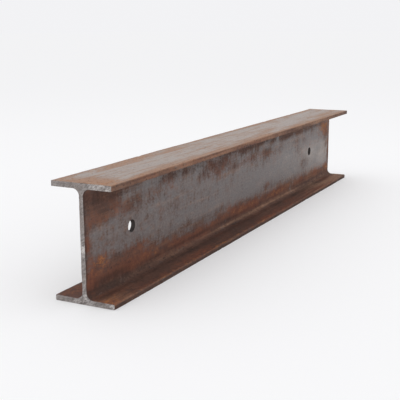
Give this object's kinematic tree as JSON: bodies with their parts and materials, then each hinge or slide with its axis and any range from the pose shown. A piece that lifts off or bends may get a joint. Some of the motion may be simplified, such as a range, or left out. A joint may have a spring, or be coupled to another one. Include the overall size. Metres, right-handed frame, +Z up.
{
  "type": "wide flange steel beam",
  "caption": "Short length of rolled wide flange steel beam with square sawn ends and a bolt hole through the web near each end.",
  "frame": {"origin": "centre of the underside of the bottom flange, halfway along the beam", "axes": "+X along the beam towards the end whose web hole is further in, +Y across the flanges, +Z up through the web"},
  "size_m": [1.25, 0.114, 0.2],
  "materials": {
    "hot_rolled_steel": "hot rolled mill scale with light rust, bright where it is sawn"
  },
  "bodies": {
    "root": {"wide_flange_beam": "hot_rolled_steel"}
  },
  "joints": []
}
